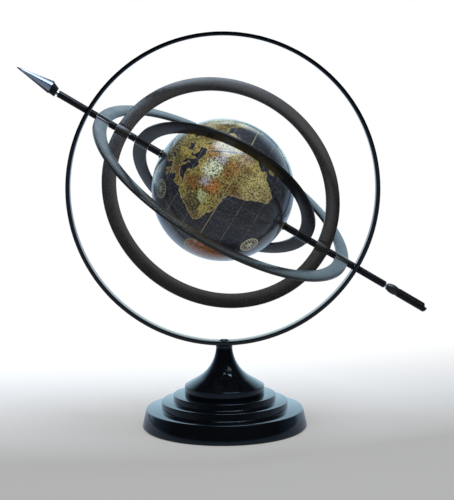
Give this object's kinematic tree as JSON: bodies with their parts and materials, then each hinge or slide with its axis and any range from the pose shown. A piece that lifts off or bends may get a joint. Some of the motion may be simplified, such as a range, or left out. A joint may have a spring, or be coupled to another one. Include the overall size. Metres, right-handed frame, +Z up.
{
  "type": "armillary sphere",
  "caption": "Decorative armillary sphere: a globe and flat rings turn on a tilted arrow that passes through an upright hoop on a bell column and stepped round foot.",
  "frame": {"origin": "centre of the foot's underside, on the surface that it stands on", "axes": "+Z up; the hoop stands in the XZ plane with the arrowhead up towards -X; the picture looks along +Y"},
  "size_m": [0.3637, 0.2496, 0.3552],
  "materials": {
    "felt": "matte",
    "black_casting": "gloss",
    "black_steel": "gloss",
    "plated_steel": "satin",
    "globe_print": "gloss",
    "bush_brass": "satin"
  },
  "bodies": {
    "stand": {"felt_pad": "felt", "foot": "black_casting", "base_bolt": "plated_steel", "base_washer": "plated_steel", "column": "black_casting", "saddle": "black_casting", "hoop": "black_steel", "hoop_screw": "black_steel"},
    "arrow": {"spindle": "plated_steel", "arrowhead": "black_steel", "head_sleeve": "black_steel", "tail_sleeve": "black_steel", "tail": "black_steel", "hoop_spacer_head": "black_steel", "hoop_spacer_tail": "black_steel", "outer_spacer_head": "black_steel", "outer_spacer_tail": "black_steel", "inner_spacer_head": "black_steel", "inner_spacer_tail": "black_steel", "globe_spacer_head": "black_steel", "globe_spacer_tail": "black_steel"},
    "outer_ring": {"outer_ring": "black_casting"},
    "middle_ring": {"middle_ring": "black_casting"},
    "inner_ring": {"inner_ring": "black_casting"},
    "globe": {"globe_north_shell": "globe_print", "globe_south_shell": "globe_print", "north_bush": "bush_brass", "south_bush": "bush_brass"}
  },
  "joints": [
    {"name": "arrow_turn", "type": "hinge", "parent": "stand", "child": "arrow", "pos_m": [0, 0, 0.2152], "axis": [-0.8581, 0, 0.5135], "continuous": true},
    {"name": "outer_ring_turn", "type": "hinge", "parent": "arrow", "child": "outer_ring", "pos_m": [0, 0, 0.2152], "axis": [-0.8581, 0, 0.5135], "continuous": true},
    {"name": "middle_ring_turn", "type": "hinge", "parent": "arrow", "child": "middle_ring", "pos_m": [0, 0, 0.2152], "axis": [-0.8581, 0, 0.5135], "continuous": true},
    {"name": "inner_ring_turn", "type": "hinge", "parent": "arrow", "child": "inner_ring", "pos_m": [0, 0, 0.2152], "axis": [-0.8581, 0, 0.5135], "continuous": true},
    {"name": "globe_spin", "type": "hinge", "parent": "arrow", "child": "globe", "pos_m": [0, 0, 0.2152], "axis": [-0.8581, 0, 0.5135], "continuous": true}
  ]
}
